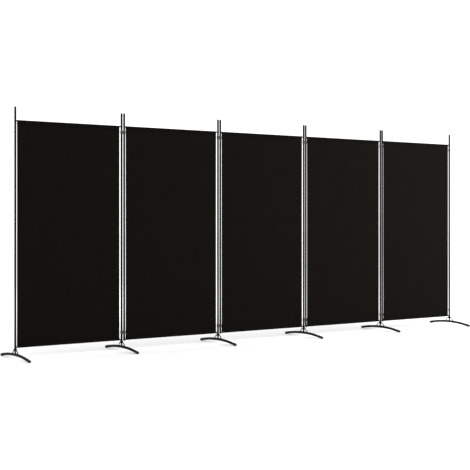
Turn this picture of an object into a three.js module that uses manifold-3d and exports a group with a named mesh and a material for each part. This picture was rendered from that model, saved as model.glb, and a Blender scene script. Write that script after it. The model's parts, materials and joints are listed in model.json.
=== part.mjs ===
// A free-standing folding room divider: five fabric panels in steel frames, in one row.
// Millimetres, +Z up. X runs along the row, left to right; -Y is the front.
// The origin is on the floor, under the middle of the row's box.
import * as THREE from 'three';
import { mergeVertices } from 'three/addons/utils/BufferGeometryUtils.js';
import Module from 'manifold-3d';

const wasm = await Module();
wasm.setup();

// Overall sizes
const screenWidth = 4330; // outside of the first post to outside of the last post
const screenHeight = 1770; // floor to the top of a post cap
const footLength = 500; // front to back over both tips
const panelCount = 5;

// Fits
const restGap = 0.3; // between pieces that rest on or sit in each other
const ringClearance = 0.3; // radial play of a post in a clip ring
const sleeveSlack = 0.5; // radial play of a rail in the fabric's sleeve

// Posts and their caps
const postDiameter = 15;
const postWall = 1;
const freePostBottom = 76; // height of the lower end of a post that has no foot
const capHeadHeight = 7;
const capEdge = 1.2; // bevel round a cap's head
const capSpigotLength = 14;

// Rails and fabric
const railDiameter = 9;
const railWall = 1;
const railInset = 100; // top of a cap down to the top rail's centre
const lowerRailHeight = 84; // floor up to the bottom rail's centre
const fabricThickness = 0.9;
const fabricSideGap = 18; // a post's centre to the fabric's side edge

// Hinge clips
const clipHeight = 24;
const clipWall = 2;
const foldGap = 2.6; // between the clips of neighbouring pairs when the screen is folded flat
const clipWaistAngle = 50; // degrees from the pair's line to where a ring meets the waist
const clipBelowTopRail = 43; // top rail's centre to an upper clip's centre
const clipAboveLowerRail = 54; // bottom rail's centre to a lower clip's centre

// Feet
const footDiameter = 20;
const tipWall = 0.5; // how far a tip stands out round the tube
const tipSink = 1; // how far a tip is flattened where it meets the floor
const footRise = 22.5; // centre of the arch above its ends
const stemDiameter = 12;
const collarTop = 76; // height of a collar's rim
const collarDepth = 14; // how deep a post stands in its collar
const collarWall = 1.2;
const collarFloor = 3; // thickness of the collar under the post
const pinLength = 17; // how far the pin stands up inside a post, short of the rail's screw
const braceDiameter = 7;
const braceReach = 48; // the post's centre to where a brace leg lands on the arch
const braceDrop = 6; // top of the collar to where a brace leg leaves it
const braceBow = 8; // how far a brace leg's middle is drawn up, and half that outwards

// Roundness
const tubeSides = 12;
const ringSides = 20;
const footSides = 10;
const tipSides = 12; // a multiple of four, so that a tip has a corner at its lowest point
const braceSides = 6;
const archSteps = 12;
const braceSteps = 4;

// Worked out from the sizes above
const postRadius = postDiameter / 2;
const postBore = postRadius - postWall;
const clipBore = postRadius + ringClearance;
const clipRadius = clipBore + clipWall;
const pairPitch = 2 * clipRadius + foldGap;
const collarBore = postRadius + restGap;
const collarRadius = collarBore + collarWall;
const footedPostBottom = collarTop - collarDepth;
const tipDiameter = footDiameter + 2 * tipWall;
const panelSpan = (screenWidth - postDiameter - (panelCount - 1) * pairPitch) / panelCount;
const postTop = screenHeight - capHeadHeight - restGap;
const topRailHeight = screenHeight - railInset;
const leftReach = Math.max(postRadius, tipDiameter / 2, collarRadius);
const rightReach = Math.max(leftReach, clipRadius);
const firstPostX = -(screenWidth - postDiameter + rightReach - leftReach) / 2;

const steel = new THREE.MeshStandardMaterial({ color: 0x2c2c2e, roughness: 0.42, metalness: 0.6 });
const footSteel = new THREE.MeshStandardMaterial({ color: 0x1d1d1e, roughness: 0.5, metalness: 0.5 });
const plastic = new THREE.MeshStandardMaterial({ color: 0x121212, roughness: 0.55, metalness: 0 });
const cloth = new THREE.MeshStandardMaterial({ color: 0x15110d, roughness: 0.95, metalness: 0 });

const screen = new THREE.Group();

function addMesh(name, geometry, material, x, z) {
  const mesh = new THREE.Mesh(geometry, material);
  mesh.name = name;
  mesh.position.set(x, 0, z);
  screen.add(mesh);
}

// A closed geometry as a solid that can be joined and cut
function toSolid(geometry) {
  const bare = geometry.clone();
  bare.deleteAttribute('normal');
  bare.deleteAttribute('uv');
  const merged = mergeVertices(bare, 1e-4);
  return new wasm.Manifold(
    new wasm.Mesh({
      numProp: 3,
      vertProperties: new Float32Array(merged.attributes.position.array),
      triVerts: new Uint32Array(merged.index.array),
    })
  );
}

function toGeometry(solid) {
  const mesh = solid.getMesh();
  const geometry = new THREE.BufferGeometry();
  geometry.setAttribute('position', new THREE.BufferAttribute(mesh.vertProperties, 3));
  geometry.setIndex(new THREE.BufferAttribute(mesh.triVerts, 1));
  geometry.computeVertexNormals();
  return geometry;
}

function circle(radius, x = 0, y = 0) {
  return new THREE.Path().absarc(x, y, radius, 0, 2 * Math.PI, false);
}

function ring(radius, bore) {
  const shape = new THREE.Shape();
  shape.absarc(0, 0, radius, 0, 2 * Math.PI, false);
  shape.holes.push(circle(bore));
  return shape;
}

// An arc gets two straight sides for each curve segment
function extrude(shape, depth, sides) {
  return new THREE.ExtrudeGeometry(shape, { depth, curveSegments: sides / 2, bevelEnabled: false });
}

// Turns a shape extruded upwards so that it runs along +X, with its own Y axis pointing up
function layAlongX(geometry) {
  const turn = new THREE.Matrix4().makeBasis(
    new THREE.Vector3(0, 1, 0),
    new THREE.Vector3(0, 0, 1),
    new THREE.Vector3(1, 0, 0)
  );
  return geometry.applyMatrix4(turn);
}

// A round bar along a curve in the foot's own upright plane
function bar(curve, diameter, sides, steps) {
  const section = new THREE.Shape();
  section.absarc(0, 0, diameter / 2, 0, 2 * Math.PI, false);
  return new THREE.ExtrudeGeometry(section, { extrudePath: curve, steps, curveSegments: sides / 2 });
}

function uprightCylinder(diameter, low, high, sides) {
  const geometry = new THREE.CylinderGeometry(diameter / 2, diameter / 2, high - low, sides);
  geometry.rotateX(Math.PI / 2);
  return geometry.translate(0, 0, (low + high) / 2);
}

// Post: an open steel tube
function postGeometry(bottom) {
  return extrude(ring(postRadius, postBore), postTop - bottom, tubeSides);
}

// Post cap: a bevelled head on the tube's end, with a spigot inside it
function capGeometry() {
  const spigot = postBore - restGap;
  const profile = [
    new THREE.Vector2(0, -capSpigotLength),
    new THREE.Vector2(spigot, -capSpigotLength),
    new THREE.Vector2(spigot, 0),
    new THREE.Vector2(postRadius, 0),
    new THREE.Vector2(postRadius, capHeadHeight - capEdge),
    new THREE.Vector2(postRadius - capEdge, capHeadHeight),
    new THREE.Vector2(0, capHeadHeight),
  ];
  return new THREE.LatheGeometry(profile, tubeSides).rotateX(Math.PI / 2);
}

// Rail: an open steel tube between the two posts of a panel
function railGeometry() {
  const length = panelSpan - postDiameter - 2 * restGap;
  const tube = extrude(ring(railDiameter / 2, railDiameter / 2 - railWall), length, tubeSides);
  return layAlongX(tube).translate(-length / 2, 0, 0);
}

// Fabric: one sheet with a sewn sleeve along its top and bottom edge, each round a rail
function fabricGeometry() {
  const bore = railDiameter / 2 + sleeveSlack;
  const radius = bore + fabricThickness;
  const seam = Math.asin(fabricThickness / 2 / radius);
  const up = Math.PI / 2;
  const section = new THREE.Shape();
  section.absarc(0, topRailHeight, radius, seam - up, 3 * up - seam, false);
  section.absarc(0, lowerRailHeight, radius, up + seam, 5 * up - seam, false);
  section.holes.push(circle(bore, 0, topRailHeight), circle(bore, 0, lowerRailHeight));
  const length = panelSpan - 2 * fabricSideGap;
  return layAlongX(extrude(section, length, tubeSides)).translate(-length / 2, 0, 0);
}

// Hinge clip: two rings in one, each round one post of a pair, joined by a waist
function hingeClipGeometry() {
  const waist = THREE.MathUtils.degToRad(clipWaistAngle);
  const outline = new THREE.Shape();
  outline.absarc(0, 0, clipRadius, waist, 2 * Math.PI - waist, false);
  outline.absarc(pairPitch, 0, clipRadius, waist - Math.PI, Math.PI - waist, false);
  outline.holes.push(circle(clipBore), circle(clipBore, pairPitch, 0));
  return extrude(outline, clipHeight, ringSides).translate(0, 0, -clipHeight / 2);
}

// End clip: a single ring on the last post, where a further panel could be joined on
function endClipGeometry() {
  return extrude(ring(clipRadius, clipBore), clipHeight, ringSides).translate(0, 0, -clipHeight / 2);
}

// Foot: an arched tube with a flattened tip at each end, and over its middle a stem, a collar
// that a post stands in, a pin inside the post that it turns on, and a brace leg to each side
function footGeometry() {
  const tipHeight = tipDiameter / 2 - tipSink;
  const tipReach = (footLength - tipDiameter) / 2;
  const archRadius = (tipReach ** 2 + footRise ** 2) / (2 * footRise);
  const archCentre = tipHeight + footRise - archRadius;
  const archPoint = (y) => new THREE.Vector3(0, y, archCentre + Math.sqrt(archRadius ** 2 - y ** 2));
  const stations = Array.from({ length: archSteps + 1 }, (_, i) => (2 * i / archSteps - 1) * tipReach);
  const arch = new THREE.CatmullRomCurve3(stations.map(archPoint));
  const archTop = archPoint(0).z;
  const seat = footedPostBottom - restGap;
  const collarBottom = seat - collarFloor;

  let foot = toSolid(bar(arch, footDiameter, footSides, archSteps));
  foot = foot.add(toSolid(uprightCylinder(stemDiameter, archTop, collarBottom + 1, tubeSides)));
  foot = foot.add(toSolid(uprightCylinder(2 * collarRadius, collarBottom, collarTop, ringSides)));
  for (const side of [-1, 1]) {
    const tip = new THREE.SphereGeometry(tipDiameter / 2, tipSides, tipSides / 2);
    foot = foot.add(toSolid(tip.translate(0, side * tipReach, tipHeight)));
    const from = new THREE.Vector3(0, side * collarBore, collarTop - braceDrop);
    const to = archPoint(side * braceReach);
    const bow = from.clone().add(to).divideScalar(2).add(new THREE.Vector3(0, side * braceBow / 2, braceBow));
    const leg = new THREE.QuadraticBezierCurve3(from, bow, to);
    foot = foot.add(toSolid(bar(leg, braceDiameter, braceSides, braceSteps)));
  }
  foot = foot.subtract(toSolid(uprightCylinder(2 * collarBore, seat, collarTop + 1, ringSides)));
  foot = foot.add(toSolid(uprightCylinder(2 * (postBore - restGap), seat - 1, seat + pinLength, tubeSides)));
  const ground = new THREE.BoxGeometry(2 * footLength, 2 * footLength, footLength);
  return toGeometry(foot.subtract(toSolid(ground.translate(0, 0, -footLength / 2))));
}

for (let panel = 1; panel <= panelCount; panel += 1) {
  const leftX = firstPostX + (panel - 1) * (panelSpan + pairPitch);
  const rightX = leftX + panelSpan;
  const middleX = leftX + panelSpan / 2;
  for (const [side, x] of [['left', leftX], ['right', rightX]]) {
    const bottom = side === 'right' || panel === 1 ? footedPostBottom : freePostBottom;
    addMesh(`panel_${panel}_${side}_post`, postGeometry(bottom), steel, x, bottom);
    addMesh(`panel_${panel}_${side}_cap`, capGeometry(), plastic, x, postTop + restGap);
  }
  addMesh(`panel_${panel}_top_rail`, railGeometry(), steel, middleX, topRailHeight);
  addMesh(`panel_${panel}_bottom_rail`, railGeometry(), steel, middleX, lowerRailHeight);
  addMesh(`panel_${panel}_fabric`, fabricGeometry(), cloth, middleX, 0);

  if (panel === 1) addMesh('foot_1', footGeometry(), footSteel, leftX, 0);
  addMesh(`foot_${panel + 1}`, footGeometry(), footSteel, rightX, 0);

  const last = panel === panelCount;
  const clip = last ? endClipGeometry : hingeClipGeometry;
  const clipName = last ? 'end_clip' : `hinge_clip_${panel}`;
  addMesh(`${clipName}_upper`, clip(), plastic, rightX, topRailHeight - clipBelowTopRail);
  addMesh(`${clipName}_lower`, clip(), plastic, rightX, lowerRailHeight + clipAboveLowerRail);
}

export default screen;
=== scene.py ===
import json
import math

import bmesh
import bpy
from bpy.props import FloatProperty, FloatVectorProperty, IntProperty, PointerProperty
from mathutils import Matrix, Vector, noise


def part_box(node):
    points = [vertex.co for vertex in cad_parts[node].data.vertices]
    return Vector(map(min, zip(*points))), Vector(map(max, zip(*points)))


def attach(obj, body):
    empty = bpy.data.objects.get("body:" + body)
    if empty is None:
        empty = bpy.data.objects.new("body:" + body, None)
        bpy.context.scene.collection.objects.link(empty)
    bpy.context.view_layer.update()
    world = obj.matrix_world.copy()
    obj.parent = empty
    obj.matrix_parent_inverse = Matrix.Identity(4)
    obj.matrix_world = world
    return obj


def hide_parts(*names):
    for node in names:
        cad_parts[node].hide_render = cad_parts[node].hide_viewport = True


bl_info = {
    "name": "Folding Screen",
    "version": (1, 0, 0),
    "blender": (4, 5, 0),
    "location": "3D View > Sidebar > Screen",
    "description": "The finished pieces of a folding room divider, made round its CAD frame",
    "category": "Add Mesh",
}

MM = 0.001
QUARTER_TURN = math.pi / 2
CLEARANCE = 0.3 * MM
TIP_SOLE = 0.3 * MM  # least thickness of a foot tip under the tube
RIM_ANGLE = math.radians(60)
SMOOTH_ANGLE = math.radians(35)
ROUND_SIDES = 48
TOUCHING = 0.01 * MM  # points closer than this are one point
NOISE_LOW, NOISE_HIGH = 0.3, 0.7  # between these lies most of a noise texture
SIDES = {"left": -1, "right": 1}

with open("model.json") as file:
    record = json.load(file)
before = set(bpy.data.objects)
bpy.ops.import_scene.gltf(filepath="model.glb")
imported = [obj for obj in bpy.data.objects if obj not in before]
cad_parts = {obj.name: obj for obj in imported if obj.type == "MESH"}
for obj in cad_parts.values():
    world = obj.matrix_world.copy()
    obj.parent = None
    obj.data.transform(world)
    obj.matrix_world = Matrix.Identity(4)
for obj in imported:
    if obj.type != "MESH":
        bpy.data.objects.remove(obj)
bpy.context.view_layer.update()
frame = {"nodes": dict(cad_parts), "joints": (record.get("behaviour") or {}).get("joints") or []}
panels = range(1, 1 + sum(name.endswith("_left_post") for name in frame["nodes"]))
feet = range(1, 1 + sum(joint["name"].endswith("_swivel") for joint in frame["joints"]))


# ---------------------------------------------------------------- sizes and colours

def millimetres(name, description, default, least, most):
    """A length whose default and limits are given in millimetres."""
    return FloatProperty(name=name, description=description, default=default * MM, min=least * MM,
                         max=most * MM, unit="LENGTH", precision=5)


def tint(name, description, default):
    return FloatVectorProperty(name=name, description=description, default=default, size=3,
                               min=0, max=1, subtype="COLOR")


class MetalSizes(bpy.types.PropertyGroup):
    post_wall: millimetres("Post wall", "Thickness of a post's tube wall", 1, 0.5, 2)
    rail_wall: millimetres("Rail wall", "Thickness of a rail's tube wall", 1, 0.5, 1.5)
    lip: millimetres("Lip", "Rounding of a tube's cut end", 0.25, 0.05, 0.4)
    screw_head: millimetres("Screw head", "Diameter of a rail screw's head", 7, 4, 8)
    screw_rise: millimetres("Screw rise", "How far a rail screw's head stands off its post", 1.9, 1, 2)
    coat_colour: tint("Coat", "Colour of the powder coat", (0.0035, 0.0035, 0.0038))
    screw_colour: tint("Screws", "Colour of the plated screws", (0.62, 0.61, 0.59))


class FootSizes(bpy.types.PropertyGroup):
    tube: millimetres("Tube", "Diameter of a foot's arched tube", 20, 10, 24)
    tip: millimetres("Tip", "Diameter of the tips on a foot's ends", 21, 11, 26)
    tip_length: millimetres("Tip length", "How far a tip reaches over its tube", 20, 8, 40)
    tip_sink: millimetres("Tip flat", "How much of a tip is pressed flat against the floor", 1, 0.2, 2)
    rise: millimetres("Rise", "Height of an arch's middle above its tips", 22.5, 10, 60)
    stem: millimetres("Stem", "Diameter of the stem under a collar", 12, 6, 14)
    collar_depth: millimetres("Collar depth", "How deep a post stands in its collar", 14, 8, 30)
    collar_floor: millimetres("Collar floor", "Thickness of a collar under its post", 3, 1, 6)
    brace: millimetres("Brace", "Diameter of a brace leg", 7, 3, 8)
    brace_reach: millimetres("Brace reach", "From a post's middle to where a brace leg lands", 48, 20, 120)
    brace_drop: millimetres(
        "Brace drop", "From a collar's rim down to where a brace leg leaves it", 6, 2, 12)
    brace_bow: millimetres("Brace bow", "How far a brace leg's middle is drawn up", 8, 0, 30)
    weld: millimetres("Weld", "Thickness of the weld beads", 2.4, 1, 4)


class PlasticSizes(bpy.types.PropertyGroup):
    clip_wall: millimetres("Clip wall", "Thickness of a clip's rings", 2, 1, 3)
    clip_edge: millimetres("Clip edge", "Rounding of a clip's edges", 0.6, 0.1, 0.9)
    waist: FloatProperty(
        name="Waist", description="Half the angle of a ring that its waist takes up",
        default=math.radians(50), min=math.radians(30), max=math.radians(60), subtype="ANGLE")
    cap_head: millimetres("Cap head", "Height of the part of a cap that shows", 7, 3, 12)
    plug_head: millimetres("Plug head", "Thickness of the plug under a post that has no foot", 1.6, 1, 4)
    plastic_colour: tint("Plastic", "Colour of the clips and caps", (0.008, 0.008, 0.008))
    tip_colour: tint("Tips", "Colour of the feet's soft tips", (0.004, 0.004, 0.004))


class ClothSizes(bpy.types.PropertyGroup):
    thickness: millimetres("Thickness", "Thickness of one layer of cloth", 0.45, 0.2, 0.8)
    side_hem: millimetres("Side hem", "Width that is turned back and sewn along each side", 10, 5, 30)
    seam_drop: millimetres(
        "Seam drop", "From a rail's middle to the seam that closes its sleeve", 12, 8, 40)
    allowance: millimetres("Seam allowance", "Cloth left behind a sleeve's seam", 11, 4, 20)
    draw_in: millimetres("Draw-in", "How far the sides curve in halfway up", 0.5, 0, 8)
    near_edge: millimetres("Near edge", "How much closer the cloth's left edge hangs to its post", 5, 0, 6)
    ripple: millimetres("Ripple", "Depth of the soft waves down the cloth", 1.3, 0, 4)
    pucker: millimetres("Pucker", "Depth of the small puckers beside the seams", 0.35, 0, 1)
    thread_pitch: millimetres("Thread pitch", "From one woven thread to the next", 0.9, 0.3, 3)
    stitch_length: millimetres("Stitch", "Length of a stitch", 3, 1.5, 5)
    stitch_pitch: millimetres("Stitch pitch", "From one stitch to the next", 4, 2, 7)
    rows: IntProperty(
        name="Rows", description="Rows of faces between a panel's two seams",
        default=56, min=12, max=120)
    stations: IntProperty(
        name="Stations", description="Columns of faces between a panel's two hems",
        default=64, min=12, max=120)
    cloth_colour: tint("Cloth", "Colour of the woven cloth", (0.0028, 0.0020, 0.0013))
    thread_colour: tint("Thread", "Colour of the sewing thread", (0.007, 0.006, 0.005))


class StageSizes(bpy.types.PropertyGroup):
    viewpoint: FloatVectorProperty(
        name="Viewpoint", description="Where the camera stands",
        default=(-5.1935, -7.0064, 0.9753), size=3, subtype="XYZ", unit="LENGTH")
    heading: FloatProperty(
        name="Heading", description="The camera's turn to the right of straight ahead",
        default=math.radians(35.04), subtype="ANGLE")
    lens: FloatProperty(
        name="Lens", description="The camera's focal length in millimetres",
        default=81.9, min=20, max=200)
    drop: FloatProperty(
        name="Framing", description="The camera's upward shift, as a share of the view's width",
        default=-0.0321, min=-0.2, max=0.2)
    floor_reach: FloatProperty(
        name="Floor", description="Half the floor's width",
        default=60, min=5, max=200, unit="LENGTH")
    floor_colour: tint("Floor colour", "Colour of the floor", (0.94, 0.94, 0.94))
    daylight: FloatProperty(
        name="Daylight", description="Strength of the even light from all round",
        default=1.35, min=0, max=4)
    softbox: FloatProperty(
        name="Softbox", description="Power of the nearer soft light in watts",
        default=60, min=0, max=3000)
    far_softbox: FloatProperty(
        name="Far softbox", description="Power of the soft light beside the last panel in watts",
        default=300, min=0, max=3000)


# ---------------------------------------------------------------- materials

def feed(tree, socket, value):
    """Link a socket to another, or set its plain value."""
    if isinstance(value, bpy.types.NodeSocket):
        tree.links.new(value, socket)
    elif hasattr(value, "__len__") and socket.type == "RGBA" and len(value) == 3:
        socket.default_value = (*value, 1)
    else:
        socket.default_value = value


def add_node(tree, kind, inputs=None, **settings):
    node = tree.nodes.new(kind)
    for name, value in settings.items():
        setattr(node, name, value)
    for name, value in (inputs or {}).items():
        feed(tree, node.inputs[name], value)
    return node


def calc(tree, operation, *values, clamp=False):
    node = add_node(tree, "ShaderNodeMath", operation=operation, use_clamp=clamp)
    for socket, value in zip(node.inputs, values):
        feed(tree, socket, value)
    return node.outputs[0]


def mix_colour(tree, share, first, second, blend="MIX"):
    node = add_node(tree, "ShaderNodeMix", data_type="RGBA", blend_type=blend)
    feed(tree, node.inputs[0], share)
    feed(tree, node.inputs[6], first)
    feed(tree, node.inputs[7], second)
    return node.outputs[2]


def remap(tree, value, low, high, new_low, new_high):
    node = add_node(tree, "ShaderNodeMapRange", {"Value": value, "From Min": low, "From Max": high,
                                                 "To Min": new_low, "To Max": new_high})
    return node.outputs[0]


def spread(tree, value, new_low=0.0, new_high=1.0):
    """Stretch the middle of a noise texture over a range."""
    return remap(tree, value, NOISE_LOW, NOISE_HIGH, new_low, new_high)


def shades(colour, *shares):
    """Darker and paler versions of a colour."""
    return [[part * share for part in colour] for share in shares]


def speckle(tree, vector, scale, detail=2.0, rough=0.5):
    return add_node(tree, "ShaderNodeTexNoise", {"Vector": vector, "Scale": scale, "Detail": detail,
                                                 "Roughness": rough}).outputs["Fac"]


def effect(name, takes, gives, wire):
    """A shader node group with named sockets, made once; wire() fills it and returns its outputs."""
    if name in bpy.data.node_groups:
        return bpy.data.node_groups[name]
    tree = bpy.data.node_groups.new(name, "ShaderNodeTree")
    for socket, default in takes.items():
        kind = "NodeSocketVector" if default is None else "NodeSocketFloat"
        made = tree.interface.new_socket(name=socket, in_out="INPUT", socket_type=kind)
        if default is not None:
            made.default_value = default
    for socket in gives:
        tree.interface.new_socket(name=socket, in_out="OUTPUT", socket_type="NodeSocketFloat")
    given = tree.nodes.new("NodeGroupInput").outputs
    put_out = tree.nodes.new("NodeGroupOutput")
    for socket, value in zip(gives, wire(tree, given)):
        tree.links.new(value, put_out.inputs[socket])
    return tree


def grain_effect():
    def wire(tree, given):
        scale = calc(tree, "DIVIDE", 1.0, given["Size"])
        fine = speckle(tree, given["Vector"], scale, 3.0, 0.6)
        broad = speckle(tree, given["Vector"], calc(tree, "MULTIPLY", scale, 0.02), 3.0)
        return fine, broad
    return effect("Surface grain", {"Vector": None, "Size": 0.001}, ("Height", "Shade"), wire)


def wear_effect():
    def wire(tree, given):
        patches = speckle(tree, given["Vector"], 140.0, 4.0, 0.65)
        edge = calc(tree, "SUBTRACT", patches, calc(tree, "SUBTRACT", 1.0, given["Amount"]))
        worn = calc(tree, "MULTIPLY", edge, 6.0, clamp=True)
        return (calc(tree, "MULTIPLY", worn, given["Edge"], clamp=True),)
    return effect("Edge wear", {"Vector": None, "Edge": 0.0, "Amount": 0.5}, ("Mask",), wire)


def dust_effect():
    def wire(tree, given):
        cloud = speckle(tree, given["Vector"], 18.0, 4.0, 0.6)
        specks = speckle(tree, given["Vector"], 900.0, 2.0, 0.5)
        lit = calc(tree, "MAXIMUM", given["Up"], 0.0)
        patch = remap(tree, cloud, 0.35, 0.7, 0.3, 1.0)
        settled = calc(tree, "MULTIPLY", lit, patch)
        film = calc(tree, "MULTIPLY", settled, spread(tree, specks, 0.6, 1.0))
        return (calc(tree, "MULTIPLY", film, given["Amount"], clamp=True),)
    return effect("Settled dust", {"Vector": None, "Up": 0.0, "Amount": 0.3}, ("Mask",), wire)


def weave_effect():
    def wire(tree, given):
        split = add_node(tree, "ShaderNodeSeparateXYZ", {"Vector": given["Vector"]})
        across = calc(tree, "DIVIDE", split.outputs["X"], given["Pitch"])
        along = calc(tree, "DIVIDE", split.outputs["Y"], given["Pitch"])
        warp = calc(tree, "ABSOLUTE", calc(tree, "SINE", calc(tree, "MULTIPLY", across, math.pi)))
        weft = calc(tree, "ABSOLUTE", calc(tree, "SINE", calc(tree, "MULTIPLY", along, math.pi)))
        cell = calc(tree, "ADD", calc(tree, "FLOOR", across), calc(tree, "FLOOR", along))
        over = calc(tree, "FLOORED_MODULO", cell, 2.0)
        top = calc(tree, "MULTIPLY", warp, over)
        under = calc(tree, "MULTIPLY", weft, calc(tree, "SUBTRACT", 1.0, over))
        height = calc(tree, "ADD", top, under)
        lengthways = add_node(tree, "ShaderNodeVectorMath", {0: given["Vector"], 1: (900, 14, 1)},
                              operation="MULTIPLY").outputs[0]
        crossways = add_node(tree, "ShaderNodeVectorMath", {0: given["Vector"], 1: (14, 900, 1)},
                             operation="MULTIPLY").outputs[0]
        slubs = calc(tree, "ADD", speckle(tree, lengthways, 1.0), speckle(tree, crossways, 1.0))
        return height, calc(tree, "MULTIPLY", slubs, 0.5)
    return effect("Plain weave", {"Vector": None, "Pitch": 0.001}, ("Height", "Slub"), wire)


def place(tree):
    """Object coordinates, in metres."""
    return tree.nodes.new("ShaderNodeTexCoord").outputs["Object"]


def mark(tree, name, output="Fac"):
    """A value that a piece carries on its own faces or vertices."""
    return add_node(tree, "ShaderNodeAttribute", attribute_name=name).outputs[output]


def facing_up(tree):
    return add_node(tree, "ShaderNodeSeparateXYZ",
                    {"Vector": tree.nodes.new("ShaderNodeNewGeometry").outputs["Normal"]}).outputs["Z"]


def use(tree, group, **inputs):
    return add_node(tree, "ShaderNodeGroup", inputs, node_tree=group).outputs


def new_finish(name, wire):
    """A named material, made once; wire() gets its node tree and its main shader."""
    if name in bpy.data.materials:
        return bpy.data.materials[name]
    material = bpy.data.materials.new(name)
    material.use_nodes = True
    tree = material.node_tree
    wire(tree, tree.nodes["Principled BSDF"])
    return material


def set_shader(tree, shader, **inputs):
    for name, value in inputs.items():
        feed(tree, shader.inputs[name.replace("_", " ")], value)


def bumped(tree, height, strength, depth):
    return add_node(tree, "ShaderNodeBump", {"Height": height, "Strength": strength,
                                             "Distance": depth}).outputs["Normal"]


def powder_coat(colour):
    def wire(tree, shader):
        spot = place(tree)
        grain = use(tree, grain_effect(), Vector=spot, Size=0.7 * MM)
        wear = use(tree, wear_effect(), Vector=spot, Edge=mark(tree, "edge"), Amount=0.46)["Mask"]
        dust = use(tree, dust_effect(), Vector=spot, Up=facing_up(tree), Amount=0.02)["Mask"]
        clouded = mix_colour(tree, spread(tree, grain["Shade"]), *shades(colour, 0.8, 1.3))
        worn = mix_colour(tree, wear, clouded, (0.16, 0.16, 0.165))
        shown = mix_colour(tree, dust, worn, (0.22, 0.21, 0.2))
        rough = spread(tree, grain["Shade"], 0.42, 0.55)
        rough = calc(tree, "ADD", rough, calc(tree, "MULTIPLY", dust, 0.8))
        set_shader(tree, shader, Base_Color=shown, Roughness=rough, Specular_IOR_Level=0.04,
                   Metallic=calc(tree, "MULTIPLY", wear, 0.8),
                   Normal=bumped(tree, grain["Height"], 0.1, 0.04 * MM))
    return new_finish("Satin black powder coat", wire)


def plated_steel(colour):
    def wire(tree, shader):
        spot = place(tree)
        grain = use(tree, grain_effect(), Vector=spot, Size=0.4 * MM)
        shown = mix_colour(tree, spread(tree, grain["Shade"]), *shades(colour, 0.8, 1))
        set_shader(tree, shader, Base_Color=shown, Metallic=1.0,
                   Roughness=spread(tree, grain["Height"], 0.22, 0.4),
                   Normal=bumped(tree, grain["Height"], 0.15, 0.02 * MM))
    return new_finish("Zinc plate", wire)


def moulded(name, colour, grain_size, gloss, polish):
    """Moulded plastic: fine texture, edges rubbed smoother and paler, a little dust on top."""
    def wire(tree, shader):
        spot = place(tree)
        grain = use(tree, grain_effect(), Vector=spot, Size=grain_size)
        wear = use(tree, wear_effect(), Vector=spot, Edge=mark(tree, "edge"), Amount=0.55)["Mask"]
        dust = use(tree, dust_effect(), Vector=spot, Up=facing_up(tree), Amount=0.04)["Mask"]
        clouded = mix_colour(tree, spread(tree, grain["Shade"]), *shades(colour, 0.75, 1.35))
        rubbed = mix_colour(tree, wear, clouded, [0.02 + c * 1.5 for c in colour])
        shown = mix_colour(tree, dust, rubbed, (0.2, 0.19, 0.18))
        rough = spread(tree, grain["Height"], gloss, gloss + 0.15)
        set_shader(tree, shader, Base_Color=shown, Specular_IOR_Level=polish,
                   Roughness=calc(tree, "SUBTRACT", rough, calc(tree, "MULTIPLY", wear, 0.12)),
                   Normal=bumped(tree, grain["Height"], 0.35, 0.06 * MM))
    return new_finish(name, wire)


def woven_cloth(colour, pitch):
    def wire(tree, shader):
        cut = mark(tree, "cut", "Vector")
        weave = use(tree, weave_effect(), Vector=cut, Pitch=pitch)
        broad = use(tree, grain_effect(), Vector=cut, Size=3 * MM)["Shade"]
        # The darkest colour, a tenth of the cloth's own, is painted shade for doubled cloth and cloth over
        # the rails.
        painted_shade, dark, pale = shades(colour, 0.1, 0.55, 1.45)
        slubbed = mix_colour(tree, remap(tree, weave["Slub"], 0.35, 0.65, 0.0, 1.0), dark, pale)
        # Painted shade: the hollows between the threads are drawn darker.
        woven = mix_colour(tree, remap(tree, weave["Height"], 0.0, 1.0, 0.5, 0.0), slubbed, dark)
        aged = mix_colour(tree, spread(tree, broad, 0.0, 0.35), woven, pale)
        # Painted shade: the mask darkens the hems and the cloth over the rails fully, and the seam allowances
        # by half.
        with_painted_shade = mix_colour(tree, calc(tree, "MULTIPLY", mark(tree, "doubled"), 0.95), aged, painted_shade)
        lift = calc(tree, "ADD", weave["Height"], calc(tree, "MULTIPLY", weave["Slub"], 0.6))
        set_shader(tree, shader, Base_Color=with_painted_shade, Specular_IOR_Level=0.03,
                   Roughness=remap(tree, weave["Slub"], 0.35, 0.65, 0.72, 0.9),
                   Sheen_Weight=0.006, Sheen_Roughness=0.5, Sheen_Tint=(1, 0.93, 0.85),
                   Normal=bumped(tree, lift, 0.3, 0.12 * MM))
    return new_finish("Woven black cloth", wire)


def sewing_thread(colour):
    def wire(tree, shader):
        spot = place(tree)
        twist = add_node(tree, "ShaderNodeTexWave", {"Vector": spot, "Scale": 900.0, "Distortion": 0.5},
                         bands_direction="DIAGONAL").outputs["Fac"]
        # Painted shade and highlight: the twist's grooves are darker and its ridges paler.
        shown = mix_colour(tree, twist, *shades(colour, 0.6, 1.4))
        set_shader(tree, shader, Base_Color=shown, Roughness=0.6, Specular_IOR_Level=0.2,
                   Normal=bumped(tree, twist, 0.4, 0.05 * MM))
    return new_finish("Sewing thread", wire)


# ---------------------------------------------------------------- modelling

def middle(node):
    low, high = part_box(node)
    return (low + high) / 2


def half_size(node):
    low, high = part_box(node)
    return (high - low) / 2


def new_shape():
    shape = bmesh.new()
    shape.faces.layers.float.new("edge")
    return shape


def finish_piece(name, shape, material, body, slot, *nodes):
    """Turn a shape into a piece that rides on a body and stands for CAD nodes."""
    mesh = bpy.data.meshes.new(name)
    shape.to_mesh(mesh)
    shape.free()
    mesh.shade_smooth()
    mesh.set_sharp_from_angle(angle=SMOOTH_ANGLE)
    mesh.materials.append(material)
    piece = bpy.data.objects.new(name, mesh)
    bpy.context.scene.collection.objects.link(piece)
    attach(piece, body)
    if nodes:
        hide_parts(*nodes)
    return piece


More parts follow.
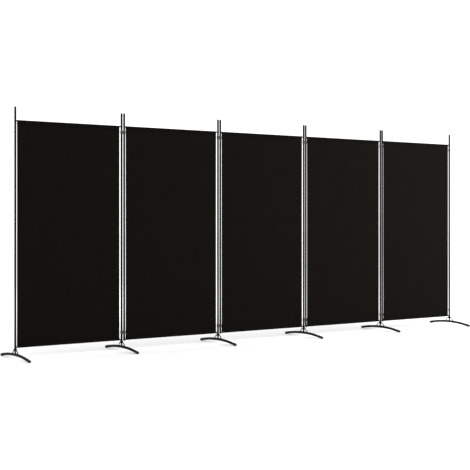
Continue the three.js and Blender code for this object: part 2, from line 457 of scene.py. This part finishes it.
def moved(shape, by):
    bmesh.ops.translate(shape, verts=shape.verts, vec=by)
    return shape


def faced_out(shape):
    bmesh.ops.recalc_face_normals(shape, faces=shape.faces)
    return shape


def join(shape, part, placing=None):
    """Move a finished part into place and add it to a shape."""
    if placing is not None:
        bmesh.ops.transform(part, matrix=placing, verts=part.verts)
    mesh = bpy.data.meshes.new("part")
    part.to_mesh(mesh)
    part.free()
    shape.from_mesh(mesh)
    bpy.data.meshes.remove(mesh)


def spun(outline, closed=False, steps=ROUND_SIDES):
    """Spin an outline of (radius, height) points a full turn about Z."""
    shape = new_shape()
    verts = [shape.verts.new((radius, 0, height)) for radius, height in outline]
    edges = [shape.edges.new(pair) for pair in zip(verts, verts[1:])]
    if closed:
        edges.append(shape.edges.new((verts[-1], verts[0])))
    bmesh.ops.spin(shape, geom=verts + edges, cent=(0, 0, 0), axis=(0, 0, 1), angle=math.tau,
                   steps=steps, use_merge=True)
    bmesh.ops.remove_doubles(shape, verts=shape.verts, dist=0.1 * TOUCHING)
    return faced_out(shape)


def round_rims(shape, width, segments=2, above=RIM_ANGLE):
    """Round the sharp edges, and mark the new faces as edges that wear."""
    rims = [edge for edge in shape.edges if edge.is_manifold and edge.calc_face_angle() > above]
    made = bmesh.ops.bevel(shape, geom=rims, offset=width, offset_type="OFFSET", segments=segments,
                           profile=0.5, affect="EDGES", material=-1)
    edge = shape.faces.layers.float["edge"]
    for face in made["faces"]:
        face[edge] = 1.0
    return shape


def tube(radius, bore, low, high, lip):
    """An open tube along Z with rounded lips."""
    return round_rims(spun([(bore, low), (radius, low), (radius, high), (bore, high)], closed=True), lip)


def swept(path, radii, sides):
    """A round bar along a path, as thick at each point as radii say, with closed ends."""
    shape = new_shape()
    rings = []
    for i, (point, radius) in enumerate(zip(path, radii)):
        heading = path[min(i + 1, len(path) - 1)] - path[max(i - 1, 0)]
        placing = Matrix.Translation(point) @ heading.to_track_quat("Z", "X").to_matrix().to_4x4()
        verts = bmesh.ops.create_circle(shape, radius=radius, segments=sides, matrix=placing)["verts"]
        rings.append({edge for vert in verts for edge in vert.link_edges})
    for ring, following in zip(rings, rings[1:]):
        bmesh.ops.bridge_loops(shape, edges=list(ring | following))
    bmesh.ops.holes_fill(shape, edges=shape.edges, sides=0)
    return faced_out(shape)


def along_x(spot, outward=1):
    """Stand a part that was made along Z on a spot, along X."""
    return Matrix.Translation(spot) @ Matrix.Rotation(outward * QUARTER_TURN, 4, "Y")


# ---------------------------------------------------------------- posts, caps and plugs

class DIVIDER_OT_posts(bpy.types.Operator):
    """Make the steel posts"""
    bl_idname = "divider.posts"
    bl_label = "Posts"

    def execute(self, context):
        sizes = context.scene.divider_metal
        for panel in panels:
            for side in SIDES:
                node = f"panel_{panel}_{side}_post"
                low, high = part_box(node)
                radius = half_size(node).x
                shape = tube(radius, radius - sizes.post_wall, low.z, high.z, sizes.lip)
                moved(shape, (middle(node).x, 0, 0))
                finish_piece(f"post_{panel}_{side}", shape, powder_coat(sizes.coat_colour[:]),
                             f"panel_{panel}", "post_steel", node)
        return {"FINISHED"}


class DIVIDER_OT_caps(bpy.types.Operator):
    """Make the plastic caps on the posts' upper ends"""
    bl_idname = "divider.caps"
    bl_label = "Post caps"

    def execute(self, context):
        sizes = context.scene.divider_plastic
        wall = context.scene.divider_metal.post_wall
        for panel in panels:
            for side in SIDES:
                node = f"panel_{panel}_{side}_cap"
                low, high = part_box(node)
                radius = half_size(node).x
                spigot = radius - wall - CLEARANCE
                seat = high.z - sizes.cap_head
                outline = [(0, high.z), (0.5 * radius, high.z - 0.1 * MM), (0.78 * radius, high.z - 0.5 * MM),
                           (0.93 * radius, high.z - 1.1 * MM), (radius, high.z - 2.2 * MM), (radius, seat),
                           (spigot, seat), (spigot, low.z + 1 * MM), (spigot - 1 * MM, low.z), (0, low.z)]
                shape = round_rims(spun(outline), 0.25 * MM)
                moved(shape, (middle(node).x, 0, 0))
                finish_piece(f"cap_{panel}_{side}", shape, clip_plastic(sizes), f"panel_{panel}",
                             "cap_plastic", node)
        return {"FINISHED"}


class DIVIDER_OT_plugs(bpy.types.Operator):
    """Make the plugs under the posts that have no foot"""
    bl_idname = "divider.plugs"
    bl_label = "Post plugs"

    def execute(self, context):
        sizes = context.scene.divider_plastic
        wall = context.scene.divider_metal.post_wall
        for panel in panels[1:]:
            node = f"panel_{panel}_left_post"
            low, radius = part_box(node)[0].z, half_size(node).x
            spigot = radius - wall - CLEARANCE
            seat = low - 0.05 * MM
            outline = [(0, seat - sizes.plug_head), (0.8 * radius, seat - sizes.plug_head),
                       (0.97 * radius, seat - 0.5 * sizes.plug_head), (0.97 * radius, seat),
                       (spigot, seat), (spigot, low + 9 * MM), (spigot - 1 * MM, low + 10 * MM),
                       (0, low + 10 * MM)]
            shape = round_rims(spun(outline), 0.2 * MM)
            moved(shape, (middle(node).x, 0, 0))
            finish_piece(f"plug_{panel}", shape, clip_plastic(sizes), f"panel_{panel}", "cap_plastic")
        return {"FINISHED"}


def clip_plastic(sizes):
    return moulded("Matte moulded plastic", sizes.plastic_colour[:], 0.5 * MM, 0.42, 0.4)


# ---------------------------------------------------------------- rails and screws

def post_of(panel, side):
    """A post's middle in X, and its radius."""
    node = f"panel_{panel}_{side}_post"
    return middle(node).x, half_size(node).x


def follow_posts(shape, panel, half_length, centre):
    """Bend a rail's flat ends to fit round the two posts between which it stands."""
    posts = {side: post_of(panel, side) for side in SIDES}
    for vert in shape.verts:
        side = "right" if vert.co.x > centre.x else "left"
        post_x, post_radius = posts[side]
        mouth = math.sqrt((post_radius + CLEARANCE) ** 2 - (vert.co.y - centre.y) ** 2)
        inset = half_length - abs(vert.co.x - centre.x)
        vert.co.x = post_x - SIDES[side] * (mouth + inset)


class DIVIDER_OT_rails(bpy.types.Operator):
    """Make the two rails of each panel"""
    bl_idname = "divider.rails"
    bl_label = "Rails"

    def execute(self, context):
        sizes = context.scene.divider_metal
        for panel in panels:
            for level in ("top", "bottom"):
                node = f"panel_{panel}_{level}_rail"
                half, centre = half_size(node), middle(node)
                shape = tube(half.y, half.y - sizes.rail_wall, -half.x, half.x, 0.5 * sizes.lip)
                bmesh.ops.transform(shape, matrix=along_x(centre), verts=shape.verts)
                follow_posts(shape, panel, half.x, centre)
                finish_piece(f"rail_{panel}_{level}", shape, powder_coat(sizes.coat_colour[:]),
                             f"panel_{panel}", "rail_steel", node)
        return {"FINISHED"}


def screw(head, rise):
    """A pan-head screw along Z, with a six-sided socket and its shank through the post's wall."""
    socket, depth, shank = 0.224 * head, 0.7 * rise, 2 * MM
    outline = [(0, rise - depth), (socket, rise - depth), (socket, rise), (0.75 * head / 2, 0.88 * rise),
               (0.93 * head / 2, 0.6 * rise), (head / 2, 0.2 * rise), (head / 2, 0),
               (shank, 0), (shank, -6 * MM), (0, -6 * MM)]
    shape = spun(outline, steps=24)
    sixth = math.tau / 6
    for vert in shape.verts:
        if 0.9 * socket < vert.co.xy.length < 1.01 * socket and vert.co.z > 0.2 * rise:
            turn = math.atan2(vert.co.y, vert.co.x) % sixth - sixth / 2
            vert.co.xy *= math.cos(sixth / 2) / math.cos(turn)
    return shape


class DIVIDER_OT_screws(bpy.types.Operator):
    """Make the screws that hold the rails between the posts"""
    bl_idname = "divider.screws"
    bl_label = "Rail screws"

    def execute(self, context):
        sizes = context.scene.divider_metal
        for panel in panels:
            shape = new_shape()
            for side, outward in SIDES.items():
                post_x, post_radius = post_of(panel, side)
                for level in ("top", "bottom"):
                    height = middle(f"panel_{panel}_{level}_rail").z
                    spot = Vector((post_x + outward * (post_radius - 0.05 * MM), 0, height))
                    join(shape, screw(sizes.screw_head, sizes.screw_rise), along_x(spot, outward))
            finish_piece(f"rail_screws_{panel}", shape, plated_steel(sizes.screw_colour[:]),
                         f"panel_{panel}", "rail_steel")
        return {"FINISHED"}


# ---------------------------------------------------------------- cloth

class ClothLay:
    """Where one panel's cloth runs: over its two rails, between its two sides."""

    def __init__(self, panel, sizes):
        self.panel = panel
        self.sizes = sizes
        low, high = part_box(f"panel_{panel}_fabric")
        self.left, self.right = low.x - sizes.near_edge, high.x
        self.layer = sizes.thickness + 0.08 * MM
        self.top = middle(f"panel_{panel}_top_rail").z
        self.low = middle(f"panel_{panel}_bottom_rail").z
        rail = half_size(f"panel_{panel}_top_rail").y
        self.radius = (high.z - self.top) - sizes.thickness / 2
        self.settle = self.radius - sizes.thickness / 2 - self.layer - rail
        self.upper_seam = self.top - sizes.seam_drop
        self.lower_seam = self.low + sizes.seam_drop

    def sleeve(self, steps=20):
        """From behind a seam round a rail to in front of it: how far back, how far from the web."""
        lean = math.acos(self.radius / self.sizes.seam_drop)
        turns = [lean + i * 2 * (math.pi - lean) / steps for i in range(steps + 1)]
        return [(self.radius * math.sin(turn), -self.radius * math.cos(turn)) for turn in turns]

    def rows(self):
        """The cloth's run as (back, height, whether it is the allowance behind a seam)."""
        spare = self.sizes.allowance
        top, low = self.top - self.settle, self.low + self.settle
        over = [(back, top + up, 0) for back, up in self.sleeve()]
        under = [(back, low - up, 0) for back, up in reversed(self.sleeve())]
        first, last = self.upper_seam - spare, self.lower_seam + spare
        count = self.sizes.rows
        web = [(0, first + (last - first) * i / count, 0) for i in range(count + 1)]
        return ([(0, first, 1), (0, self.upper_seam, 1)] + over + [(0, self.upper_seam, 0)] + web
                + [(0, self.lower_seam, 0)] + under + [(0, self.lower_seam, 1), (0, last, 1)])

    def stations(self):
        """Across the cloth from hem to hem: how far from the left side, and how many layers in."""
        hem, fold, width = self.sizes.side_hem, 0.5 * MM, self.right - self.left
        turned = [(hem, 1), (hem / 2, 1), (fold, 1), (0, 0.5), (fold, 0), (hem / 2, 0)]
        count = self.sizes.stations
        open_cloth = [(hem + (width - 2 * hem) * i / count, 0) for i in range(count + 1)]
        return turned + open_cloth + [(width - x, layer) for x, layer in reversed(turned)]

    def shift(self, x, z):
        """How the cloth's own waves move a point of the web."""
        sizes = self.sizes
        half = (self.right - self.left) / 2
        across = (x - self.left - half) / half
        up = (z - self.lower_seam) / (self.upper_seam - self.lower_seam)
        if not 0 < up < 1:
            return Vector((0, 0, 0))
        slack = math.sin(math.pi * up)
        seed = 7.3 * self.panel
        broad = noise.noise(Vector((x * 5, z * 0.7, seed)))
        broad += 0.5 * noise.noise(Vector((x * 13, z * 1.6, seed)))
        to_seam = min(z - self.lower_seam, self.upper_seam - z)
        fade = math.exp(-to_seam / (45 * MM)) * min(1, to_seam / (6 * MM))
        pinch = noise.noise(Vector((x * 42, seed, 0))) * fade
        inward = -math.copysign(sizes.draw_in * slack * abs(across) ** 3, across)
        return Vector((inward, sizes.ripple * broad * math.sqrt(slack) + sizes.pucker * pinch, 0))


def running_length(points):
    """The distance along a run of points at each of them."""
    lengths = [0.0]
    for point, following in zip(points, points[1:]):
        lengths.append(lengths[-1] + (Vector(following) - Vector(point)).length)
    return lengths


def inward_of(points):
    """At each point of the cloth's run, the direction towards its inner side."""
    inward = []
    for i in range(len(points)):
        ahead = Vector(points[min(i + 1, len(points) - 1)]) - Vector(points[max(i - 1, 0)])
        inward.append(Vector((-ahead.y, ahead.x)).normalized())
    return inward


def cloth_shape(lay):
    """The cut cloth, hemmed at its sides and turned round both rails. Returns it and its flat size."""
    rows, stations = lay.rows(), lay.stations()
    run = [(back, height) for back, height, _ in rows]
    inward = inward_of(run)
    down = running_length(run)
    over = running_length([(x, lay.layer * layer) for x, layer in stations])
    last_row, last_station = len(rows) - 1, len(stations) - 1

    shape = bmesh.new()
    cut = shape.verts.layers.float_vector.new("cut")
    # This face layer is the mask of painted shade on the cloth.
    doubled = shape.faces.layers.float.new("doubled")
    bmesh.ops.create_grid(shape, x_segments=last_station, y_segments=last_row, size=0.5)
    grid = {}
    for vert in shape.verts:
        i = round((vert.co.x + 0.5) * last_station)
        j = round((0.5 - vert.co.y) * last_row)
        grid[vert] = (i, j)
        (x, layer), (back, height, spare) = stations[i], rows[j]
        side = min(x, lay.right - lay.left - x)
        hemmed = min(max(2 - side / lay.sizes.side_hem, 0), 1)
        behind = spare * lay.layer * (1 + 2 * hemmed)
        turned = inward[j] * lay.layer * layer
        at = Vector((lay.left + x, back + behind + turned.x, height + turned.y))
        vert.co = at + lay.shift(at.x, height)
        vert[cut] = Vector((over[i], down[j], 0))
    hem, spare, half_rail = lay.sizes.side_hem, lay.sizes.allowance, 4 * MM
    # Mask of painted shade: 1 at the hems and over the rails, 0.5 beside the seams.
    for face in shape.faces:
        i = min(grid[vert][0] for vert in face.verts)
        j = min(grid[vert][1] for vert in face.verts)
        from_side = min(stations[i][0], lay.right - lay.left - stations[i + 1][0])
        z = (rows[j][1] + rows[j + 1][1]) / 2
        hemmed = from_side < hem - 0.1 * MM
        round_rail = z > lay.top - half_rail or z < lay.low + half_rail
        seamed = not lay.lower_seam + spare < z < lay.upper_seam - spare
        in_sleeve = not lay.lower_seam < z < lay.upper_seam
        face[doubled] = 1.0 if hemmed or round_rail else 0.5 if seamed and not in_sleeve else 0.0
    bmesh.ops.reverse_faces(shape, faces=shape.faces)
    return shape, (over[-1], down[-1])


class DIVIDER_OT_cloth(bpy.types.Operator):
    """Make the panels' cloth, with its side hems and its sleeves round the rails"""
    bl_idname = "divider.cloth"
    bl_label = "Cloth"

    def execute(self, context):
        sizes = context.scene.divider_cloth
        material = woven_cloth(sizes.cloth_colour[:], sizes.thread_pitch)
        for panel in panels:
            shape, flat = cloth_shape(ClothLay(panel, sizes))
            piece = finish_piece(f"cloth_{panel}", shape, material, f"panel_{panel}", "fabric",
                                 f"panel_{panel}_fabric")
            wall = piece.modifiers.new("Cloth thickness", "SOLIDIFY")
            wall.thickness = sizes.thickness
            wall.offset = 0
        return {"FINISHED"}


def stitch_row(shape, sizes, start, step, length):
    """A straight row of stitches: one low, tapered stitch, doubled until the row is long enough."""
    step = Vector(step)
    count = int(length / sizes.stitch_pitch)
    row = new_shape()
    form = Matrix.Diagonal((sizes.stitch_length / 2, 0.3 * MM, 0.3 * MM, 1))
    lie = Matrix.Rotation(QUARTER_TURN, 4, "Y")
    bmesh.ops.create_uvsphere(row, u_segments=6, v_segments=3, radius=1,
                              matrix=step.to_track_quat("X", "Y").to_matrix().to_4x4() @ form @ lie)
    made = 1
    while made < count:
        extra = min(made, count - made)
        last = (extra - 0.5) * sizes.stitch_pitch
        repeat = [face for face in row.faces if face.calc_center_median().dot(step) < last]
        copied = bmesh.ops.duplicate(row, geom=repeat)["geom"]
        verts = [item for item in copied if isinstance(item, bmesh.types.BMVert)]
        bmesh.ops.translate(row, verts=verts, vec=step * sizes.stitch_pitch * made)
        made += extra
    join(shape, row, Matrix.Translation(start))


class DIVIDER_OT_stitching(bpy.types.Operator):
    """Sew the sleeves and the side hems"""
    bl_idname = "divider.stitching"
    bl_label = "Stitching"

    def execute(self, context):
        sizes = context.scene.divider_cloth
        half = sizes.thickness / 2
        margin = 2 * MM
        first = margin + sizes.stitch_length / 2
        for panel in panels:
            lay = ClothLay(panel, sizes)
            shape = new_shape()
            width = lay.right - lay.left - 2 * margin
            height = lay.upper_seam - lay.lower_seam - 2 * margin
            seams = (lay.upper_seam - 1 * MM, lay.lower_seam + 1 * MM)
            for z in seams:
                for y in (-half, lay.layer + half):
                    stitch_row(shape, sizes, (lay.left + first, y, z), (1, 0, 0), width)
            for x in (lay.left + sizes.side_hem - 1.5 * MM, lay.right - sizes.side_hem + 1.5 * MM):
                for y in (-half, lay.layer + half):
                    stitch_row(shape, sizes, (x, y, lay.lower_seam + first), (0, 0, 1), height)
            for vert in shape.verts:
                vert.co += lay.shift(vert.co.x, vert.co.z)
            finish_piece(f"stitching_{panel}", shape, sewing_thread(sizes.thread_colour[:]),
                         f"panel_{panel}", "fabric")
        return {"FINISHED"}


# ---------------------------------------------------------------- clips

class DIVIDER_OT_hinge_clips(bpy.types.Operator):
    """Make the clips that join two posts and let both turn"""
    bl_idname = "divider.hinge_clips"
    bl_label = "Hinge clips"

    def execute(self, context):
        sizes = context.scene.divider_plastic
        for pair in panels[:-1]:
            for level in ("upper", "lower"):
                node = f"hinge_clip_{pair}_{level}"
                finish_piece(f"pair_clip_{pair}_{level}", hinge_clip(node, sizes), clip_plastic(sizes),
                             f"link_{pair}", "clip_plastic", node)
        return {"FINISHED"}


def hinge_clip(node, sizes, steps=72):
    """A ring whose inner side is drawn out to a flat waist, and its mirror image."""
    half, centre = half_size(node), middle(node)
    radius = half.y
    reach = half.x - radius
    bore = radius - sizes.clip_wall
    shape = spun([(bore, -half.z), (radius, -half.z), (radius, half.z), (bore, half.z)],
                 closed=True, steps=steps)
    waist = radius * math.sin(sizes.waist)
    drawn = [vert for vert in shape.verts if vert.co.xy.length > (bore + radius) / 2
             and vert.co.x > 0 and abs(vert.co.y) < waist - TOUCHING]
    widest = max(vert.co.y for vert in drawn)
    for vert in drawn:
        vert.co.x = reach
        vert.co.y *= waist / widest
    inside = [face for face in shape.faces if all(vert in drawn for vert in face.verts)]
    bmesh.ops.delete(shape, geom=inside, context="FACES_ONLY")
    bmesh.ops.delete(shape, geom=[edge for edge in shape.edges if edge.is_wire], context="EDGES")
    moved(shape, (-reach, 0, 0))
    bmesh.ops.mirror(shape, geom=shape.verts[:] + shape.edges[:] + shape.faces[:],
                     axis="X", merge_dist=TOUCHING)
    bmesh.ops.remove_doubles(shape, verts=shape.verts, dist=TOUCHING)
    faced_out(shape)
    for side in SIDES.values():
        flat = [face for face in shape.faces if face.normal.y * side > 0.999
                and face.calc_center_median().y * side > 0.99 * waist
                and abs(face.calc_center_median().x) < 0.5 * radius]
        panel = bmesh.ops.dissolve_faces(shape, faces=flat)["region"]
        bmesh.ops.inset_individual(shape, faces=panel, thickness=1.3 * MM, depth=-0.5 * MM)
    return moved(round_rims(shape, sizes.clip_edge), centre)


class DIVIDER_OT_end_clips(bpy.types.Operator):
    """Make the single clips on the last post"""
    bl_idname = "divider.end_clips"
    bl_label = "End clips"

    def execute(self, context):
        sizes = context.scene.divider_plastic
        for level in ("upper", "lower"):
            node = f"end_clip_{level}"
            half, centre = half_size(node), middle(node)
            shape = tube(half.x, half.x - sizes.clip_wall, -half.z, half.z, sizes.clip_edge)
            moved(shape, centre)
            finish_piece(f"single_clip_{level}", shape, clip_plastic(sizes), f"panel_{panels[-1]}",
                         "clip_plastic", node)
        return {"FINISHED"}


# ---------------------------------------------------------------- feet

class FootLay:
    """Where one foot's parts are."""

    def __init__(self, number, sizes):
        node = f"foot_{number}"
        panel, side = (1, "left") if number == 1 else (number - 1, "right")
        post = f"panel_{panel}_{side}_post"
        self.x = middle(post).x
        self.post_radius = half_size(post).x
        self.pin_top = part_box(node)[1].z
        self.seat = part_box(post)[0].z - CLEARANCE
        self.rim = self.seat + CLEARANCE + sizes.collar_depth
        self.radius = half_size(node).x
        self.tip_height = sizes.tip / 2 - sizes.tip_sink
        self.tip_reach = half_size(node).y - sizes.tip / 2
        self.arch_radius = (self.tip_reach ** 2 + sizes.rise ** 2) / (2 * sizes.rise)
        self.arch_centre = self.tip_height + sizes.rise - self.arch_radius

    def arch(self, y):
        """The arch's middle line over a distance from the post."""
        return Vector((0, y, self.arch_centre + math.sqrt(self.arch_radius ** 2 - y ** 2)))


def arched_tube(lay, sizes, steps=40):
    """A circle spun through a shallow arc from one tip to the other, with closed ends."""
    half_turn = math.asin(lay.tip_reach / lay.arch_radius)
    shape = new_shape()
    stand = Matrix.Translation(lay.arch(0)) @ Matrix.Rotation(QUARTER_TURN, 4, "X")
    ring = bmesh.ops.create_circle(shape, radius=sizes.tube / 2, segments=32, matrix=stand)["verts"]
    centre = (0, 0, lay.arch_centre)
    bmesh.ops.rotate(shape, cent=centre, matrix=Matrix.Rotation(half_turn, 3, "X"), verts=ring)
    bmesh.ops.spin(shape, geom=ring + shape.edges[:], cent=centre, axis=(1, 0, 0),
                   angle=-2 * half_turn, steps=steps)
    bmesh.ops.holes_fill(shape, edges=shape.edges, sides=0)
    faced_out(shape)
    for vert in shape.verts:
        vert.co.z = max(vert.co.z, TIP_SOLE)
    return shape


def stem_and_collar(lay, sizes):
    """The stem, the cup that a post stands in, and the pin inside the post."""
    bore = lay.post_radius + CLEARANCE
    pin = lay.post_radius - 1.3 * MM
    root = lay.arch(0).z
    under = lay.seat - sizes.collar_floor
    stem = sizes.stem / 2
    outline = [(0, root), (stem, root), (stem, under - 2 * MM), (stem + 1 * MM, under - 0.6 * MM),
               (lay.radius - 1 * MM, under), (lay.radius, under + 1 * MM), (lay.radius, lay.rim),
               (bore, lay.rim), (bore, lay.seat), (pin, lay.seat), (pin, lay.pin_top - 2 * MM),
               (pin - 1.5 * MM, lay.pin_top), (0, lay.pin_top)]
    return round_rims(spun(outline), 0.25 * MM)


def stem_weld(lay, sizes):
    """A bead round the stem's root that follows the tube's rounded top."""
    half = sizes.weld / 2
    around = [(sizes.stem / 2 + 0.3 * half + half * math.cos(turn), half * math.sin(turn))
              for turn in (i * math.tau / 8 for i in range(8))]
    shape = spun(around, closed=True)
    for vert in shape.verts:
        ripple = 0.12 * half * math.sin(14 * math.atan2(vert.co.y, vert.co.x))
        fall = math.sqrt(max((sizes.tube / 2) ** 2 - vert.co.x ** 2, 0))
        vert.co.z += lay.arch(vert.co.y).z + fall + ripple
    return shape


def brace_leg(lay, sizes, side, steps=18):
    """A bent rod from the collar down to the arch, thicker at both ends where it is welded."""
    start = Vector((0, side * (lay.post_radius + CLEARANCE + 0.6 * MM), lay.rim - sizes.brace_drop))
    end = lay.arch(side * sizes.brace_reach) + Vector((0, 0, 0.25 * sizes.tube))
    bow = (start + end) / 2 + Vector((0, side * sizes.brace_bow / 2, sizes.brace_bow))
    shares = [i / steps for i in range(steps + 1)]
    path = [start * (1 - t) ** 2 + bow * 2 * t * (1 - t) + end * t ** 2 for t in shares]
    length = running_length(path)[-1]
    radii = []
    for t in shares:
        upper = math.exp(-t * length / (1.6 * MM))
        lower = math.exp(-max((1 - t) * length - 4 * MM, 0) / (1.6 * MM))
        radii.append(sizes.brace / 2 * (1 + 0.2 * upper + 0.4 * lower))
    return swept(path, radii, 20)


class DIVIDER_OT_feet(bpy.types.Operator):
    """Make the arched feet with their collars, pins and brace legs"""
    bl_idname = "divider.feet"
    bl_label = "Feet"

    def execute(self, context):
        sizes = context.scene.divider_feet
        for number in feet:
            lay = FootLay(number, sizes)
            shape = new_shape()
            join(shape, arched_tube(lay, sizes))
            join(shape, stem_and_collar(lay, sizes))
            join(shape, stem_weld(lay, sizes))
            for side in SIDES.values():
                join(shape, brace_leg(lay, sizes, side))
            moved(shape, (lay.x, 0, 0))
            coat = powder_coat(context.scene.divider_metal.coat_colour[:])
            finish_piece(f"arched_foot_{number}", shape, coat, f"foot_{number}", "foot_steel",
                         f"foot_{number}")
        return {"FINISHED"}


class DIVIDER_OT_tips(bpy.types.Operator):
    """Make the soft tips over the feet's ends"""
    bl_idname = "divider.tips"
    bl_label = "Foot tips"

    def execute(self, context):
        sizes = context.scene.divider_feet
        plastic = context.scene.divider_plastic
        material = moulded("Soft black tip", plastic.tip_colour[:], 0.8 * MM, 0.5, 0.25)
        radius, bore = sizes.tip / 2, sizes.tube / 2 + 0.05 * MM
        for number in feet:
            lay = FootLay(number, sizes)
            for name, side in (("front", -1), ("back", 1)):
                dome = [(radius * math.sin(turn), radius * math.cos(turn))
                        for turn in (i * QUARTER_TURN / 12 for i in range(13))]
                outline = dome + [(radius, -sizes.tip_length), (bore, -sizes.tip_length),
                                  (bore, 1 * MM), (0, 1 * MM)]
                shape = round_rims(spun(outline), 0.2 * MM)
                lean = math.asin(lay.tip_reach / lay.arch_radius)
                turn = Matrix.Rotation(-side * (QUARTER_TURN + lean), 4, "X")
                spot = Vector((lay.x, side * lay.tip_reach, lay.tip_height))
                bmesh.ops.transform(shape, matrix=Matrix.Translation(spot) @ turn, verts=shape.verts)
                for vert in shape.verts:
                    vert.co.z = max(vert.co.z, 0)
                finish_piece(f"tip_{number}_{name}", shape, material, f"foot_{number}", "foot_steel")
        return {"FINISHED"}


# ---------------------------------------------------------------- stage

class DIVIDER_OT_stage(bpy.types.Operator):
    """Set up the floor, the soft lights and the camera"""
    bl_idname = "divider.stage"
    bl_label = "Stage"

    def execute(self, context):
        sizes = context.scene.divider_stage
        lay_floor(sizes)
        hang_lights(sizes)
        set_camera(sizes)
        context.scene.view_settings.view_transform = "Standard"
        context.scene.view_settings.look = "None"
        return {"FINISHED"}


def lay_floor(sizes):
    def wire(tree, shader):
        spot = place(tree)
        cloud = use(tree, grain_effect(), Vector=spot, Size=10 * MM)
        shown = mix_colour(tree, cloud["Shade"], *shades(sizes.floor_colour, 1, 0.99))
        set_shader(tree, shader, Base_Color=shown, Roughness=0.8, Specular_IOR_Level=0.1)
    shape = bmesh.new()
    bmesh.ops.create_grid(shape, x_segments=2, y_segments=2, size=sizes.floor_reach)
    mesh = bpy.data.meshes.new("floor")
    shape.to_mesh(mesh)
    shape.free()
    mesh.materials.append(new_finish("Pale floor", wire))
    floor = bpy.data.objects.new("floor", mesh)
    bpy.context.scene.collection.objects.link(floor)


def hang_lights(sizes):
    world = bpy.data.worlds.new("Studio")
    world.use_nodes = True
    background = world.node_tree.nodes["Background"]
    background.inputs["Color"].default_value = (1, 1, 1, 1)
    background.inputs["Strength"].default_value = sizes.daylight
    bpy.context.scene.world = world
    for name, spot, width, power in (("near softbox", (-4, -5, 4.5), 3, sizes.softbox),
                                     ("far softbox", (5.5, -3.5, 2.5), 2.5, sizes.far_softbox),
                                     ("back softbox", (0, 5, 4), 4, sizes.softbox)):
        light = bpy.data.lights.new(name, "AREA")
        light.energy = power
        light.size = width
        lamp = bpy.data.objects.new(name, light)
        lamp.location = spot
        lamp.rotation_euler = (-Vector(spot)).to_track_quat("-Z", "Y").to_euler()
        bpy.context.scene.collection.objects.link(lamp)


def set_camera(sizes):
    view = bpy.data.cameras.new("camera")
    view.sensor_width = 36
    view.lens = sizes.lens
    view.shift_y = sizes.drop
    view.clip_end = 200
    camera = bpy.data.objects.new("camera", view)
    camera.location = sizes.viewpoint
    camera.rotation_euler = (QUARTER_TURN, 0, -sizes.heading)
    bpy.context.scene.collection.objects.link(camera)
    bpy.context.scene.camera = camera


# ---------------------------------------------------------------- add-on

class DIVIDER_PT_pieces(bpy.types.Panel):
    """Lists the sizes and the operators that make the screen"""
    bl_idname = "DIVIDER_PT_pieces"
    bl_label = "Folding Screen"
    bl_space_type = "VIEW_3D"
    bl_region_type = "UI"
    bl_category = "Screen"

    def draw(self, context):
        for operator in OPERATORS:
            self.layout.operator(operator.bl_idname)
        for group in GROUPS:
            sizes = getattr(context.scene, group)
            box = self.layout.box()
            for size in GROUPS[group].__annotations__:
                box.prop(sizes, size)


GROUPS = {"divider_metal": MetalSizes, "divider_feet": FootSizes, "divider_plastic": PlasticSizes,
          "divider_cloth": ClothSizes, "divider_stage": StageSizes}
OPERATORS = (DIVIDER_OT_posts, DIVIDER_OT_caps, DIVIDER_OT_plugs, DIVIDER_OT_rails, DIVIDER_OT_screws,
             DIVIDER_OT_stitching, DIVIDER_OT_cloth, DIVIDER_OT_hinge_clips, DIVIDER_OT_end_clips,
             DIVIDER_OT_feet, DIVIDER_OT_tips, DIVIDER_OT_stage)


def register():
    for kind in (*GROUPS.values(), *OPERATORS, DIVIDER_PT_pieces):
        bpy.utils.register_class(kind)
    for name, kind in GROUPS.items():
        setattr(bpy.types.Scene, name, PointerProperty(type=kind))


def unregister():
    for name in GROUPS:
        delattr(bpy.types.Scene, name)
    for kind in reversed((*GROUPS.values(), *OPERATORS, DIVIDER_PT_pieces)):
        bpy.utils.unregister_class(kind)


def main():
    register()
    bpy.ops.divider.posts()
    bpy.ops.divider.caps()
    bpy.ops.divider.plugs()
    bpy.ops.divider.rails()
    bpy.ops.divider.screws()
    bpy.ops.divider.stitching()
    bpy.ops.divider.cloth()
    bpy.ops.divider.hinge_clips()
    bpy.ops.divider.end_clips()
    bpy.ops.divider.feet()
    bpy.ops.divider.tips()
    bpy.ops.divider.stage()


if __name__ == "__main__":
    main()
